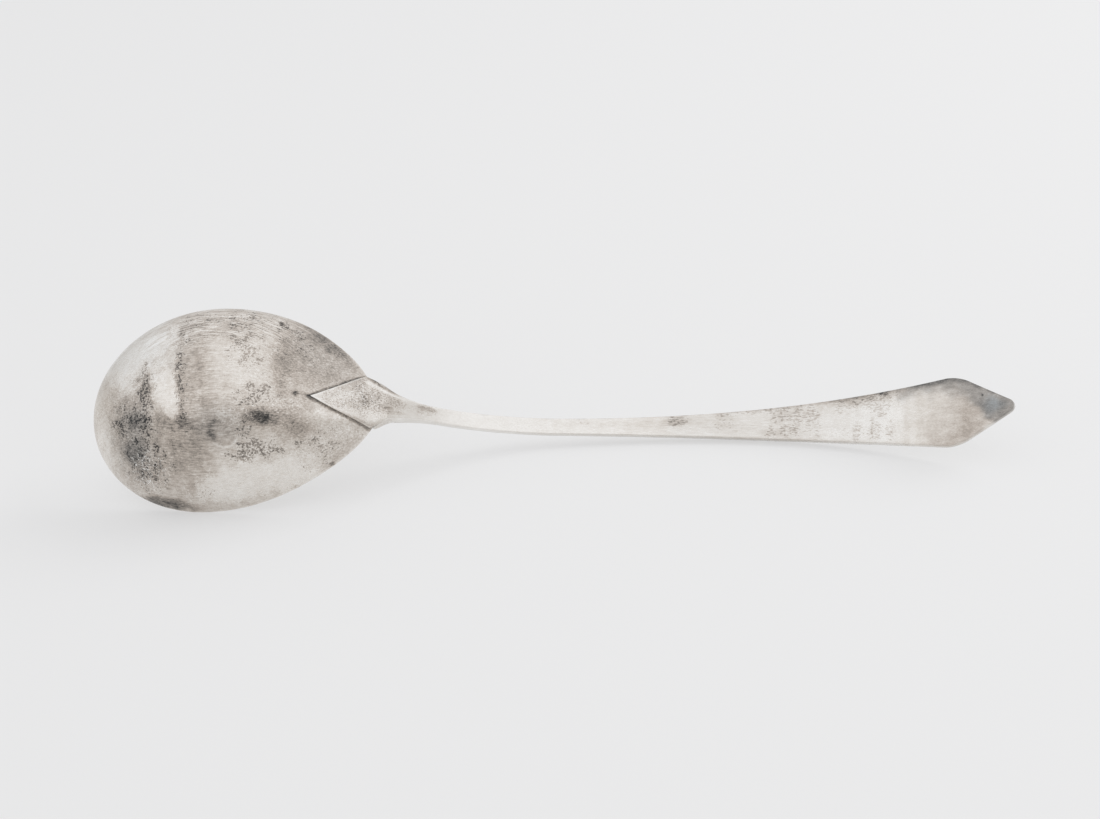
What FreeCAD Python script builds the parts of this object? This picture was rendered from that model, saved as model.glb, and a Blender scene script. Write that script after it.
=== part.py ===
import FreeCAD, Part
import Sketcher

import math
import os

# Ladle: a raised egg-shaped bowl with a forged handle soldered on its back.
# The pieces are drawn face down: X runs from the lip to the handle's end, Y across and Z up
# through the back of the bowl, with the rim at Z 0. The last step lays them on their side.

doc = FreeCAD.newDocument("Ladle")
sheet = doc.addObject("Spreadsheet::Sheet", "Sizes")

sizes = [
    # bowl
    ("bowl_length", 114.5),         # lip to heel along the rim
    ("bowl_half_width", 37.8),
    ("bowl_depth", 27.3),
    ("widest_from_lip", 49.2),
    ("deepest_from_lip", 65.5),
    ("wall", 0.9),
    ("wall_exponent", 1.62),        # 2 gives an elliptic wall, more a squarer one
    ("heel_exponent", 0.65),        # 0.5 gives a round heel, 1 a sharp one
    ("heel_straight_ratio", 0.55),  # 0 gives a rounded keel, 1 a straight one
    # drop: the pointed plate that laps the bowl's back, measured from the rim's heel
    ("drop_length", 17.3),
    ("drop_corner", 3.5),
    ("drop_half_width", 9.1),
    ("drop_thickness", 1.2),
    ("solder_film", 0.1),
    # root: where the strap turns round the heel
    ("root_rise", 5.0),
    ("root_fall", 12.0),
    ("root_round_radius", 12.5),
    # strap, seen from the side
    ("neck_slope", 61.0),
    ("neck_bend_radius", 60.0),
    ("stem_slope", 9.3),
    ("stem_bend_radius", 415.0),
    ("end_slope", -0.5),
    ("end_bend_radius", 262.0),
    ("handle_reach", 220.5),        # from the rim's heel to the tip, level
    ("neck_thickness", 3.6),
    ("stem_thickness", 3.8),
    ("end_thickness", 2.8),
    # strap, seen from its back, each place measured from the rim's heel
    ("shoulder_place", 0.5),
    ("shoulder_half_width", 7.5),
    ("stem_start", 14.5),
    ("stem_end", 50.0),
    ("stem_half_width", 2.85),
    ("flare_end", 198.0),
    ("flare_half_width", 12.0),
    ("end_shoulder", 203.5),
    ("end_half_width", 9.9),
    ("shoulder_round_radius", 10.0),
    ("point_round_radius", 52.0),
    ("stock", 2.0),                 # left beyond an outline before the blank is cut to it
    # resting pose
    ("lean_angle", 50.97),          # about the ladle's length, 0 lies face down
    ("pitch_angle", -2.1),
]
for row, (alias, value) in enumerate(sizes, start=1):
    sheet.set("A%d" % row, alias)
    sheet.set("B%d" % row, str(value))
    sheet.setAlias("B%d" % row, alias)
doc.recompute()


def size(alias):
    return float(sheet.get(alias))


def value(expression):
    return float(sheet.evalExpression(expression))


# Bowl: closed contours, each level a smaller and rounder egg nearer the deepest point.

contour_steps = 10
contour_levels = 7
top_level = 0.05                    # of the rim's size: the small flat that closes the top
ellipse_exponent = 0.5              # of an egg with two round ends
sharpening_power = 4                # how soon the heel rounds off above the rim


def contour(level, grow):
    """Half outline of the bowl's back at one level, 1 at the rim, grown outward by a distance."""
    deepest = size("deepest_from_lip")
    heel_side = size("bowl_length") - deepest
    straight = size("heel_straight_ratio")
    heel_slope = math.atan(size("bowl_depth") / (straight * heel_side))
    power = size("wall_exponent")
    height = (1 - level ** power) ** (1 / power)
    heel_share = (1 - straight) * math.sqrt(1 - height ** 2) + straight * (1 - height)
    lip = deepest - (deepest + grow) * level
    heel = deepest + (heel_side + grow / math.sin(heel_slope)) * heel_share
    widest = deepest + (size("widest_from_lip") - deepest) * level
    half = (size("bowl_half_width") + grow) * level
    sharpening = level ** sharpening_power
    blunt = ellipse_exponent + (size("heel_exponent") - ellipse_exponent) * sharpening
    points = []
    for step in range(contour_steps + 1):
        along = -math.cos(math.pi * step / contour_steps)
        if along < 0:
            x = widest + along * (widest - lip)
            y = half * math.sqrt(1 - along ** 2)
        else:
            x = widest + along * (heel - widest)
            y = half * max(0.0, 1 - along ** 2) ** blunt
        points.append(FreeCAD.Vector(x, y, (size("bowl_depth") + grow) * height))
    return points


def contour_wire(level, grow):
    left = contour(level, grow)
    shares = [step / contour_steps for step in range(contour_steps + 1)]
    right = [FreeCAD.Vector(p.x, -p.y, p.z) for p in reversed(left)]
    edges = []
    for points in (left, right):
        curve = Part.BSplineCurve()
        curve.interpolate(Points=points, Parameters=shares)
        edges.append(curve.toShape())
    return Part.Wire(edges)


def dome(name, grow):
    """Solid under the bowl's back, down to the rim plane."""
    wires = []
    for index in range(contour_levels):
        turn = 0.5 * math.pi * (1 - index / contour_levels)
        wires.append(contour_wire(math.sin(turn), grow))
    wires.append(contour_wire(top_level, grow))
    feature = doc.addObject("Part::Feature", name)
    feature.Shape = Part.makeLoft(wires, True, False)
    return feature


def combined(kind, name, first, second):
    feature = doc.addObject(kind, name)
    feature.Base = first
    feature.Tool = second
    return feature


# Sketches: an outline is a list of corners, each with its two places as expressions on the
# sheet, and the radius of the arc that follows it, or None for a straight side. A positive
# radius turns left, a negative one right.

def outline(body, role, name, corners):
    plane = next(item for item in body.Origin.OriginFeatures if item.Role == role)
    sketch = body.newObject("Sketcher::SketchObject", name)
    sketch.AttachmentSupport = [(plane, "")]
    sketch.MapMode = "FlatFace"
    places = [FreeCAD.Vector(value(across), value(along), 0) for across, along, radius in corners]
    count = len(corners)
    starts = []
    for index, (across, along, radius) in enumerate(corners):
        first = places[index]
        last = places[(index + 1) % count]
        if radius is None:
            sketch.addGeometry(Part.LineSegment(first, last))
            starts.append((1, 2))
            continue
        reach = value(radius)
        chord = last - first
        normal = FreeCAD.Vector(-chord.y, chord.x, 0).normalize()
        rise = math.sqrt(reach ** 2 - (0.5 * chord.Length) ** 2)
        centre = (first + last) * 0.5 + normal * math.copysign(rise, reach)
        circle = Part.Circle(centre, FreeCAD.Vector(0, 0, 1), abs(reach))
        ends = [circle.parameter(first), circle.parameter(last)]
        if reach < 0:
            ends.reverse()
        sketch.addGeometry(Part.ArcOfCircle(circle, ends[0], ends[1]))
        starts.append((1, 2) if reach > 0 else (2, 1))
    for index, (across, along, radius) in enumerate(corners):
        following = (index + 1) % count
        sketch.addConstraint(Sketcher.Constraint("Coincident", index, starts[index][1],
                                                 following, starts[following][0]))
        for kind, place, expression in (("DistanceX", places[index].x, across),
                                        ("DistanceY", places[index].y, along)):
            number = sketch.addConstraint(Sketcher.Constraint(kind, -1, 1, index, starts[index][0], place))
            sketch.setExpression("Constraints[%d]" % number, expression)
        if radius is not None:
            number = sketch.addConstraint(Sketcher.Constraint("Radius", index, abs(value(radius))))
            sketch.setExpression("Constraints[%d]" % number, "abs(%s)" % radius)
    return sketch


def plane_offset(sketch, expression):
    sketch.setExpression(".AttachmentOffset.Base.z", expression)


def tangent_arc(run, rise):
    """Radius of an arc that leaves a straight stretch without a corner."""
    return "((%s)^2 + (%s)^2) / (2 * abs(%s))" % (run, rise, rise)


# Bowl

outer = dome("BowlBack", 0)
inner = dome("BowlHollow", -size("wall"))
bowl = combined("Part::Cut", "BowlShell", outer, inner)
bowl.Label = "bowl"

# Strap: the bent bar, from just below the heel to the tip, as wide as its widest place

heel = "Sizes.bowl_length"
sine = ["sin(Sizes.neck_slope)", "sin(Sizes.stem_slope)", "sin(Sizes.end_slope)"]
cosine = ["cos(Sizes.neck_slope)", "cos(Sizes.stem_slope)", "cos(Sizes.end_slope)"]
start_x = "%s + Sizes.root_fall / tan(Sizes.neck_slope)" % heel
start_z = "-Sizes.root_fall"
back_x = ["%s + Sizes.neck_thickness / %s" % (start_x, sine[0])]
back_z = [start_z]
for part, bend in enumerate(("neck_bend_radius", "stem_bend_radius")):
    back_x.append("%s + Sizes.%s * (%s - %s)" % (back_x[part], bend, sine[part], sine[part + 1]))
    back_z.append("%s + Sizes.%s * (%s - %s)" % (back_z[part], bend, cosine[part], cosine[part + 1]))
back_x.append("%s + Sizes.handle_reach + Sizes.stock" % heel)
tip_sine = "(%s - (%s - (%s)) / Sizes.end_bend_radius)" % (sine[2], back_x[3], back_x[2])
tip_cosine = "sqrt(1 - %s^2)" % tip_sine
back_z.append("%s + Sizes.end_bend_radius * (%s - %s)" % (back_z[2], cosine[2], tip_cosine))
thick = ["Sizes.neck_thickness", "Sizes.stem_thickness", "Sizes.stem_thickness", "Sizes.end_thickness"]
sine.append(tip_sine)
cosine.append(tip_cosine)
front_x = ["%s - %s * %s" % (back_x[i], thick[i], sine[i]) for i in range(4)]
front_z = ["%s - %s * %s" % (back_z[i], thick[i], cosine[i]) for i in range(4)]
bends = ["Sizes.neck_bend_radius", "Sizes.stem_bend_radius", "Sizes.end_bend_radius"]
front_bends = ["-(%s + 0.5 * (%s + %s))" % (bends[i], thick[i], thick[i + 1]) for i in range(3)]

strap = doc.addObject("PartDesign::Body", "Strap")
side = outline(strap, "XZ_Plane", "SideOutline", [
    (back_x[0], back_z[0], bends[0]),
    (back_x[1], back_z[1], bends[1]),
    (back_x[2], back_z[2], bends[2]),
    (back_x[3], back_z[3], None),
    (front_x[3], front_z[3], front_bends[2]),
    (front_x[2], front_z[2], front_bends[1]),
    (front_x[1], front_z[1], front_bends[0]),
    (front_x[0], front_z[0], None),
    (start_x, start_z, None),
])
bar = strap.newObject("PartDesign::Pad", "Bar")
bar.Profile = side
bar.SideType = "Symmetric"
bar.setExpression("Length", "2 * (Sizes.flare_half_width + Sizes.stock)")
side.Visibility = False
doc.recompute()

# Root: level slices that turn from the heel's curve to the straight bar

root_half = "(Sizes.drop_half_width + Sizes.stock)"
sag = "(Sizes.root_round_radius - sqrt(Sizes.root_round_radius^2 - %s^2))" % root_half
keel_angle = ("atan(Sizes.bowl_depth / (Sizes.heel_straight_ratio"
              " * (Sizes.bowl_length - Sizes.deepest_from_lip)))")
keel_x = "%s - Sizes.root_rise / tan(%s)" % (heel, keel_angle)
slices = [
    ("RootTop", "Sizes.root_rise",
     "%s - Sizes.root_rise" % keel_x,
     "%s + Sizes.drop_thickness / sin(%s)" % (keel_x, keel_angle), True),
    ("RootHeel", "0", heel, "%s + Sizes.neck_thickness / %s" % (heel, sine[0]), True),
    ("RootFoot", "-Sizes.root_fall", start_x, back_x[0], False),
]
sections = []
for name, height, front, back, curved in slices:
    if curved:
        front = "%s - %s" % (front, sag)
        back = "%s - %s" % (back, sag)
        section = outline(strap, "XY_Plane", name, [
            (front, "-" + root_half, None),
            (back, "-" + root_half, "Sizes.root_round_radius"),
            (back, root_half, None),
            (front, root_half, "-Sizes.root_round_radius"),
        ])
    else:
        section = outline(strap, "XY_Plane", name, [
            (front, "-" + root_half, None),
            (back, "-" + root_half, None),
            (back, root_half, None),
            (front, root_half, None),
        ])
    plane_offset(section, height)
    sections.append(section)
doc.recompute()
root = strap.newObject("PartDesign::AdditiveLoft", "Root")
root.Profile = sections[0]
root.Sections = sections[1:]
root.Ruled = True
doc.recompute()

# Blank: strap and drop in one, cut to the outline seen from the back and to the bowl

half_outline = [
    ("%s - Sizes.drop_corner" % heel, "Sizes.drop_half_width", None),
    ("%s + Sizes.shoulder_place" % heel, "Sizes.shoulder_half_width",
     tangent_arc("Sizes.stem_start - Sizes.shoulder_place",
                 "(Sizes.shoulder_half_width - Sizes.stem_half_width)")),
    ("%s + Sizes.stem_start" % heel, "Sizes.stem_half_width", None),
    ("%s + Sizes.stem_end" % heel, "Sizes.stem_half_width",
     tangent_arc("Sizes.flare_end - Sizes.stem_end",
                 "(Sizes.flare_half_width - Sizes.stem_half_width)")),
    ("%s + Sizes.flare_end" % heel, "Sizes.flare_half_width", "Sizes.shoulder_round_radius"),
    ("%s + Sizes.end_shoulder" % heel, "Sizes.end_half_width", "Sizes.point_round_radius"),
]
bulges = [None, "-", None, "-", "", ""]
near = []
for (x, y, radius), sign in zip(half_outline, bulges):
    near.append((x, "-" + y, None if sign is None else sign + radius))
far = []
for index in range(len(half_outline) - 1, -1, -1):
    x, y, radius = half_outline[index]
    turn = None
    if index > 0 and bulges[index - 1] is not None:
        turn = bulges[index - 1] + half_outline[index - 1][2]
    far.append((x, y, turn))
plan = doc.addObject("PartDesign::Body", "Plan")
back_view = outline(plan, "XY_Plane", "BackOutline",
                    [("%s - Sizes.drop_length" % heel, "0", None)] + near
                    + [("%s + Sizes.handle_reach" % heel, "0", half_outline[-1][2])] + far)
block = plan.newObject("PartDesign::Pad", "OutlineBlock")
block.Profile = back_view
block.SideType = "Symmetric"
block.setExpression("Length", "2 * Sizes.handle_reach")
back_view.Visibility = False
doc.recompute()

drop = dome("DropBack", size("drop_thickness"))
seat = dome("DropSeat", size("solder_film"))
blank = combined("Part::Fuse", "Blank", strap, drop)
trimmed = combined("Part::Common", "Trimmed", blank, plan)
handle = combined("Part::Cut", "Handle", trimmed, seat)
handle.Label = "handle"
doc.recompute()

for item in doc.Objects:
    if "Invalid" in item.State or "Error" in item.State:
        raise RuntimeError("%s failed: %s" % (item.Name, item.State))

# Resting pose: on the rim's near side and the edge of the broad end, the back turned up.
# The origin lies on the surface, under the middle of the piece.

pieces = (bowl, handle)
turn = FreeCAD.Rotation(0, size("pitch_angle"), size("lean_angle"))
box = FreeCAD.BoundBox()
for piece in pieces:
    turned = piece.Shape.copy()
    turned.Placement = FreeCAD.Placement(FreeCAD.Vector(), turn)
    box.add(turned.optimalBoundingBox(False, False))
move = "vector(%.6f; %.6f; %.6f)" % (-box.Center.x, -box.Center.y, -box.ZMin)
for piece in pieces:
    piece.setExpression("Placement", "placement(%s; rotation(0; Sizes.pitch_angle; Sizes.lean_angle))" % move)
doc.recompute()

os.makedirs("parts", exist_ok=True)
for piece in pieces:
    if piece.Shape.isNull() or not piece.Shape.isValid():
        raise RuntimeError("%s has no sound shape" % piece.Label)
    piece.Shape.exportStep("parts/%s.step" % piece.Label)
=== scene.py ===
import math

import bpy
import numpy as np
from mathutils import Matrix, Vector


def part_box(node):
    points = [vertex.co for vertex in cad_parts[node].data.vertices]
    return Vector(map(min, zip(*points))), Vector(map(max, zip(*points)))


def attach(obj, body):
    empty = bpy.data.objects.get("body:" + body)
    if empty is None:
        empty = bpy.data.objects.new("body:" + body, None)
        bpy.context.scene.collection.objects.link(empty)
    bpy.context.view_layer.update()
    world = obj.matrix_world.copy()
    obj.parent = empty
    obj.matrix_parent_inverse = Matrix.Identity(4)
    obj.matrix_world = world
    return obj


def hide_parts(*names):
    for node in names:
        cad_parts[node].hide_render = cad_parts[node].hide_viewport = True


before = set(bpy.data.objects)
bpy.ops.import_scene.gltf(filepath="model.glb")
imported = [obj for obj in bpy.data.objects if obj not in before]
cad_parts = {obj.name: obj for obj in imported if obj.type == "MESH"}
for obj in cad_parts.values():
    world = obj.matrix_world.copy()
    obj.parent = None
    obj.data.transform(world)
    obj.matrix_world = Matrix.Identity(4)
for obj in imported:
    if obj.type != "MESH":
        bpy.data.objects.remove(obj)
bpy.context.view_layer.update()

mm = 0.001
print("frame loaded")


# Helpers

def smooth(low, high, value):
    # 0 below low, 1 above high, an S curve between
    t = np.clip((value - low) / (high - low), 0, 1)
    return t * t * (3 - 2 * t)


def waves(x, y, size, seed, count=7):
    # soft unevenness: sines in turned directions about one wavelength, added up to roughly -1..1;
    # the seed and two golden numbers spread their directions, lengths and starts
    goldenTurn, goldenShare = 2.399963, 0.618
    total = 0 * x
    for i in range(count):
        angle = seed * 1.7 + i * goldenTurn
        rate = 2 * math.pi / (size * (0.75 + 0.5 * ((seed * 0.37 + i * goldenShare) % 1)))
        along = x * math.cos(angle) + y * math.sin(angle)
        total = total + np.sin(along * rate + seed * 4.1 + i * i * 1.3)
    return total / math.sqrt(count)


def rippled(value, x, y, table):
    # waves laid on a value: amount, wavelength and seed of each
    for amount, size, seed in table:
        value = value + amount * waves(x, y, size, seed)
    return value


def ellipseAxes(x, y, at, size, turn):
    # the place in a turned ellipse's own axes, each 1 at its edge
    angle = math.radians(turn)
    dx, dy = x - at[0], y - at[1]
    u = (dx * math.cos(angle) + dy * math.sin(angle)) / size[0]
    v = (dy * math.cos(angle) - dx * math.sin(angle)) / size[1]
    return u, v


raggedEdge = {"size": 5.5, "count": 9}


def patches(x, y, table, ragged):
    # a sum of ellipses: centre X and Y, long and short half size, turn in degrees, softness, amount;
    # waves make their edges ragged
    total = 0 * x
    for atX, atY, long, short, turn, soft, amount in table.values():
        u, v = ellipseAxes(x, y, (atX, atY), (long, short), turn)
        edge = waves(x, y, raggedEdge["size"], atX + atY, raggedEdge["count"])
        reach = np.sqrt(u * u + v * v) + ragged * edge
        total = total + amount * (1 - smooth(1 - soft, 1 + soft, reach))
    return total


def painted(x, y, table, ragged, even=0, most=1):
    # patches on an even tone, kept between 0 and the most
    return np.clip(even + patches(x, y, table, ragged), 0, most)


def meshFromGrid(name, grid, uv, fields, startPoint=None, endPoint=None):
    # rows of a closed ring each; a pole or cap point closes either end
    rows, columns = grid.shape[:2]
    points = grid.reshape(-1, 3)
    uvs = uv.reshape(-1, 2)
    masks = {key: value.reshape(rows * columns, -1) for key, value in fields.items()}
    row, column = np.meshgrid(np.arange(rows - 1), np.arange(columns), indexing="ij")
    nextColumn = (column + 1) % columns
    quads = np.stack([
        row * columns + column,
        row * columns + nextColumn,
        (row + 1) * columns + nextColumn,
        (row + 1) * columns + column,
    ], -1).reshape(-1, 4)
    ring = np.arange(columns)
    caps = []
    for point, base, flip in ((startPoint, 0, True), (endPoint, (rows - 1) * columns, False)):
        if point is None:
            continue
        centre = len(points)
        points = np.vstack([points, point])
        uvs = np.vstack([uvs, uvs[base:base + columns].mean(0)])
        masks = {
            key: np.vstack([value, value[base:base + columns].mean(0)])
            for key, value in masks.items()
        }
        first, second = base + ring, base + (ring + 1) % columns
        if flip:
            first, second = second, first
        caps.append(np.stack([first, second, np.full(columns, centre)], -1))
    mesh = bpy.data.meshes.new(name)
    faces = quads.tolist() + [face for cap in caps for face in cap.tolist()]
    mesh.from_pydata(points.tolist(), [], faces)
    corners = np.empty(len(mesh.loops), dtype=np.int32)
    mesh.loops.foreach_get("vertex_index", corners)
    layer = mesh.uv_layers.new(name="plan")
    layer.data.foreach_set("uv", uvs[corners].astype(np.float32).ravel())
    for key, value in masks.items():
        kind, part = ("FLOAT_VECTOR", "vector") if value.shape[1] == 3 else ("FLOAT", "value")
        attribute = mesh.attributes.new(key, kind, "POINT")
        attribute.data.foreach_set(part, value.astype(np.float32).ravel())
    mesh.polygons.foreach_set("use_smooth", np.ones(len(mesh.polygons), dtype=bool))
    mesh.update()
    piece = bpy.data.objects.new(name, mesh)
    bpy.context.collection.objects.link(piece)
    return piece


# How the ladle lies. Its own axes, in millimetres: X from lip to tip, Y across, Z out of the bowl's back.

pose = {"lean": 50.97, "pitch": -2.1}
pitched = Matrix.Rotation(math.radians(pose["pitch"]), 3, "Y")
leaned = Matrix.Rotation(math.radians(pose["lean"]), 3, "X")
turned = np.array(pitched @ leaned)

bowl = {
    "length": 114.5,
    "halfWidth": 37.8,
    "depth": 27.3,
    "widest": 49.2,
    "deepest": 65.5,
    "roundness": 1.62,
    "heelPoint": 0.65,
    "heelStraight": 0.55,
    "wall": 0.9,
    "rimLift": 0.4,
    "outerRows": 190,
    "innerRows": 44,
    "rimRows": 7,
    "columns": 400,
    "heelBulge": {"push": 2.9, "at": 112, "reach": (15, 9), "across": (1, -8)},
    "farBulge": {"push": 0.9, "at": 111, "reach": 8, "across": (2, 9)},
    "ringTurn": 3.2,
}

handle = {
    "dropLength": 18.1,
    "dropShear": 0.3,
    "dropCorner": 3.5,
    "dropHalf": 9.1,
    "dropThick": 1.2,
    "seat": 0.04,
    "rootRise": 5.0,
    "rootFall": 12.0,
    "rootRound": 12.5,
    "slopes": (61.0, 9.3, -0.5),
    "bends": (60.0, 415.0, 262.0),
    "thick": (3.6, 3.8, 3.8, 2.8),
    "reach": 220.5,
    "shoulder": (0.5, 7.5),
    "stem": (14.5, 50.0, 2.85),
    "flare": (195.5, 11.75),
    "endShoulder": (205.0, 9.4),
    "shoulderRound": 17.0,
    "pointFoot": (219.33, 1.95),
    "pointRound": 2.2,
    "edgeRound": 0.42,
    "edgeShare": 0.42,
    "rootSoft": 0.8,
    "nearSlim": {"share": 0.16, "at": 1.2, "reach": 2.8},
    "tipInset": 0.02,
    "tipSamples": 4000,
    "dropRows": 120,
    "dropCrowd": 1.5,
    "rootRows": 40,
    "arcRows": (46, 130, 420),
    "endRows": 110,
    "endCrowd": 1.15,
    "endMargin": 3,
    "uprightFrom": (0.6, 0.95),
    "acrossBack": 32,
    "acrossFront": 12,
    "cornerSteps": 4,
}


def keelAngle():
    return math.atan(bowl["depth"] / (bowl["heelStraight"] * (bowl["length"] - bowl["deepest"])))


def bowlLevel(level, grow):
    # lip, heel, widest place, half width, bluntness and height: level 1 is the rim, 0 the top of the back
    deepest = bowl["deepest"]
    straight = bowl["heelStraight"]
    power = bowl["roundness"]
    height = np.clip(1 - level ** power, 0, 1) ** (1 / power)
    heelShare = (1 - straight) * np.sqrt(1 - height ** 2) + straight * (1 - height)
    lip = deepest - (deepest + grow) * level
    heel = deepest + (bowl["length"] - deepest + grow / math.sin(keelAngle())) * heelShare
    widest = deepest + (bowl["widest"] - deepest) * level
    half = (bowl["halfWidth"] + grow) * level
    blunt = 0.5 + (bowl["heelPoint"] - 0.5) * level ** 4
    return lip, heel, widest, half, blunt, (bowl["depth"] + grow) * height


def levelAt(z, grow):
    power = bowl["roundness"]
    return np.clip(1 - np.clip(z / (bowl["depth"] + grow), 0, 1) ** power, 0, 1) ** (1 / power)


def bowlPoint(level, turn, grow):
    # each level is an egg: an ellipse towards the lip, a blunter power curve towards the heel
    lip, heel, widest, half, blunt, height = bowlLevel(level, grow)
    along = -np.cos(turn)
    lipSide = along < 0
    rest = np.clip(1 - along ** 2, 0, 1)
    x = widest + along * np.where(lipSide, widest - lip, heel - widest)
    y = half * np.where(lipSide, np.sqrt(rest), rest ** blunt) * np.sign(np.sin(turn))
    return np.stack([x, y, height + 0 * x], -1)


def bulged(points):
    # bells along X, faded across Y: the heel's near side is pushed along X and its far side outwards
    near, far = bowl["heelBulge"], bowl["farBulge"]
    x, y = points[..., 0], points[..., 1]
    nearReach = np.where(x < near["at"], *near["reach"])
    nearBell = np.exp(-((x - near["at"]) / nearReach) ** 2)
    farBell = np.exp(-((x - far["at"]) / far["reach"]) ** 2)
    result = points.copy()
    result[..., 0] = x + near["push"] * nearBell * smooth(*near["across"], y)
    result[..., 1] = y + far["push"] * farBell * smooth(*far["across"], y)
    return result


def bowlGrid():
    # outside from the top down, a half-round edge, then inside back up
    count = bowl["columns"]
    turn = 2 * math.pi * (np.arange(count) + 0.5) / count
    lift = bowl["rimLift"]
    wall = bowl["wall"]
    outer = np.sin(math.pi / 2 * np.linspace(0, 1, bowl["outerRows"] + 1)[1:]) * levelAt(lift, 0)
    inner = np.sin(math.pi / 2 * np.linspace(1, 0, bowl["innerRows"] + 1)[:-1]) * levelAt(lift, -wall)
    outside = bowlPoint(outer[:, None], turn[None, :], 0)
    inside = bowlPoint(inner[:, None], turn[None, :], -wall)
    bend = np.linspace(0, math.pi, bowl["rimRows"] + 2)[1:-1][:, None, None]
    middle = (outside[-1] + inside[0]) / 2
    rim = middle + (outside[-1] - middle) * np.cos(bend)
    rim[..., 2] = lift * (1 - np.sin(bend[..., 0]))
    return np.concatenate([outside, rim, inside]), len(outer)


# Dents and waviness of the back, in the bowl's own plan: centre, half size, turn in degrees, depth

dents = [
    {"at": (67.5, -14.0), "size": (7.0, 6.0), "turn": 10, "depth": 0.22},
    {"at": (34.0, -22.0), "size": (12.0, 8.0), "turn": 0, "depth": 0.10},
    {"at": (88.0, 8.0), "size": (9.0, 7.0), "turn": 0, "depth": 0.08},
]
dentFall = 1.5
backRipples = ((0.02, 19, 3), (0.008, 7, 5))
rimFade = (0.5, 6)


def pushed(points):
    # every dent is a smooth bell, pushed down along Z; dents and ripples fade out towards the rim
    x, y = points[..., 0], points[..., 1]
    drop = 0 * x
    for dent in dents:
        u, v = ellipseAxes(x, y, dent["at"], dent["size"], dent["turn"])
        drop = drop + dent["depth"] * np.exp(-dentFall * (u * u + v * v))
    drop = rippled(drop, x, y, backRipples)
    result = points.copy()
    result[..., 2] = points[..., 2] - drop * smooth(*rimFade, points[..., 2])
    return result


bowlPoints, outerCount = bowlGrid()
shift = np.array(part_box("bowl")[0]) / mm - (bowlPoints @ turned.T).reshape(-1, 3).min(0)


def placed(points):
    return (bulged(points) @ turned.T + shift) * mm


def planOf(points):
    # the plan map: ladle's own X and Y, one unit per decimetre
    return points[..., :2] / 100


def ringOf():
    # a place on the bowl that follows its levels: round the egg slowly, and down its side in millimetres
    count = bowl["columns"]
    turn = 2 * math.pi * (np.arange(count) + 0.5) / count
    side = bowlPoints[:, count // 4]
    down = np.append(0, np.cumsum(np.linalg.norm(np.diff(side, axis=0), axis=1)))
    around = bowl["ringTurn"] * np.stack([np.cos(turn), np.sin(turn)], -1)
    rows = len(down)
    return np.concatenate([
        np.broadcast_to(around, (rows, count, 2)),
        np.broadcast_to(down[:, None, None], (rows, count, 1)),
    ], -1)


# Wear on the bowl's back, in millimetres of its plan: darkened silver, with painted shade in some patches,
# places rubbed bright, fine specks, wiry scratches and bluish films

bowlTarnishAndShade = {
    "besideBorder": (54.0, 9.3, 14.5, 7.1, -70, 0.5, 0.16),
    "middle": (62.1, -7.4, 18.0, 6.3, -2, 0.6, 0.09),
    "lowerMiddle": (49.9, -20.9, 13.5, 10.1, 62, 0.5, 0.19),
    "belowMiddle": (52.5, -17.5, 9.0, 6.5, 10, 0.8, 0.08),
    "aroundDent": (67.0, -13.0, 8.0, 6.5, 0, 0.8, 0.13),
    "borderLine": (48.6, 5.6, 17.5, 1.5, -76, 0.9, 0.13),
    "brownBand": (86.0, 10.2, 13.4, 3.8, -77, 0.7, 0.20),
    "upperRight": (95.3, 15.7, 14.6, 8.8, -48, 0.6, 0.20),
    "rightOfMiddle": (90.4, -5.0, 7.6, 6.3, 65, 0.8, 0.08),
    "farRight": (100.7, -15.4, 8.9, 5.1, 49, 0.8, 0.08),
    "lipZone": (27.8, -11.5, 16.4, 11.9, -55, 0.6, 0.24),
    "lipUpper": (32.3, 6.1, 7.8, 5.3, -57, 0.7, 0.20),
    "underPatch": (45.6, -9.5, 8.3, 2.6, -4, 0.7, 0.22),
    # painted reflection of the shaded floor: a dark strip along the low rim, over its tarnish
    "rimShadeReflection": (34.2, -34.8, 13.6, 1.6, -8, 0.6, 0.48),
    "smudge": (80.4, -7.9, 4.4, 2.4, 7, 0.8, 0.46),
    "smudgeCore": (80.0, -8.1, 2.6, 1.3, 7, 0.8, 0.28),
    "smudgeShade": (82.5, -8.0, 6.4, 3.8, 0, 0.9, 0.16),
    "softSmudge": (89.7, -10.4, 4.6, 3.6, 47, 0.9, 0.15),
    "softSmudgeLow": (92.6, -12.6, 3.6, 2.6, 40, 0.9, 0.12),
    "spotA": (28.7, -8.1, 4.9, 2.9, -9, 0.9, 0.18),
    "spotB": (26.8, -17.8, 5.3, 3.8, 0, 0.9, 0.16),
    "lowLeft": (27.5, -27.0, 11.8, 5.6, 2, 0.8, 0.10),
    "topEdge": (93.6, 24.6, 17.0, 2.2, -38, 0.8, 0.26),
    "topShade": (52.0, 27.0, 26.0, 6.0, -4, 0.9, 0.12),
    "pit": (91.4, 0.8, 0.9, 0.8, 82, 0.6, 0.40),
    "pitShade": (94.0, 0.8, 1.8, 0.5, -8, 0.8, 0.18),
    "nickA": (67.7, 31.6, 1.0, 0.5, -26, 0.5, 0.40),
    "nickB": (78.4, 29.2, 1.2, 0.6, -51, 0.5, 0.45),
    "nickC": (98.3, -21.2, 0.9, 0.5, 33, 0.4, 0.45),
    "nickD": (86.1, -29.2, 0.8, 0.5, 30, 0.4, 0.40),
    "creamLeft": (67.0, 12.7, 12.1, 7.8, -42, 0.22, -0.05),
}
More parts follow.
